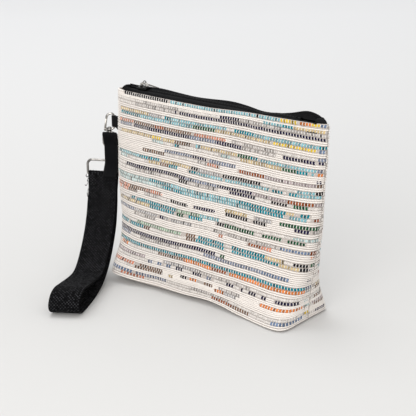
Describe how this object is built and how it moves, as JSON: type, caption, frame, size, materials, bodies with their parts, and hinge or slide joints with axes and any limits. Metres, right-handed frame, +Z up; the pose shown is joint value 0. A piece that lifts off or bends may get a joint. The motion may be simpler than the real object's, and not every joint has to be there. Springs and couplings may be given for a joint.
{
  "type": "zip wristlet pouch",
  "caption": "Wedge-shaped zipped pouch of striped woven cloth with a boxed base and a black webbing wrist strap clipped to a side tab by a swivel snap hook.",
  "frame": {"origin": "middle of the flat base where the pouch stands on the floor", "axes": "+X along the zip to the right seen from the front, -Y the front panel's side, +Z up"},
  "size_m": [0.2513, 0.1518, 0.1793],
  "materials": {
    "woven_cloth": "cream rag weave with rows of coloured dashes",
    "lining_cloth": "plain dark lining",
    "black_tape": "black woven tape",
    "black_nylon": "black moulded teeth and stops",
    "nickel": "bright nickel plate",
    "webbing": "black ribbed webbing"
  },
  "bodies": {
    "pouch": {"front_panel": "woven_cloth", "back_panel": "woven_cloth", "front_lining": "lining_cloth", "back_lining": "lining_cloth", "zip_tape_front": "black_tape", "zip_tape_back": "black_tape", "zip_teeth_front": "black_nylon", "zip_teeth_back": "black_nylon", "zip_stop_left": "black_nylon", "zip_stop_right": "black_nylon", "zip_end_tab_left": "black_tape", "zip_end_tab_right": "black_tape", "side_tab": "black_tape"},
    "slider": {"zip_slider": "nickel"},
    "pull": {"zip_pull": "nickel"},
    "hook": {"hook_body": "nickel", "hook_gate_pin": "nickel"},
    "gate": {"hook_gate": "nickel"},
    "eye": {"swivel_eye": "nickel"},
    "ribbon": {"ribbon_loop": "black_tape"},
    "ring": {"strap_ring": "nickel"},
    "strap": {"wrist_strap": "webbing"}
  },
  "joints": [
    {"name": "zip_slide", "type": "slide", "parent": "pouch", "child": "slider", "axis": [1, 0, 0], "range_m": [0, 0.156], "deforming": ["zip_teeth_front", "zip_teeth_back"]},
    {"name": "pull_swing", "type": "hinge", "parent": "slider", "child": "pull", "pos_m": [-0.078, 0, 0.17666], "axis": [1, 0, 0], "range_deg": [0, 235]},
    {"name": "hook_swing", "type": "hinge", "parent": "pouch", "child": "hook", "pos_m": [-0.11497, 0, 0.1311], "axis": [0, 0, 1], "range_deg": [-60, 0]},
    {"name": "gate_hinge", "type": "hinge", "parent": "hook", "child": "gate", "pos_m": [-0.12087, -0.00495, 0.1302], "axis": [-0.6428, 0.766, 0], "range_deg": [0, 20], "stiffness_Nm_per_rad": 0.02},
    {"name": "eye_swivel", "type": "hinge", "parent": "hook", "child": "eye", "pos_m": [-0.11819, -0.0027, 0.1311], "axis": [0, 0, 1], "range_deg": [-90, 0]},
    {"name": "ribbon_swing", "type": "hinge", "parent": "eye", "child": "ribbon", "pos_m": [-0.11819, -0.0027, 0.1144], "axis": [0.9063, 0.4226, 0], "range_deg": [-1, 25]},
    {"name": "ring_swing", "type": "hinge", "parent": "ribbon", "child": "ring", "pos_m": [-0.11819, -0.0027, 0.101], "axis": [0.9063, 0.4226, 0], "range_deg": [0, 25]},
    {"name": "strap_swing", "type": "hinge", "parent": "ring", "child": "strap", "pos_m": [-0.11819, -0.0027, 0.0878], "axis": [0.9063, 0.4226, 0], "range_deg": [-25, 45]}
  ]
}
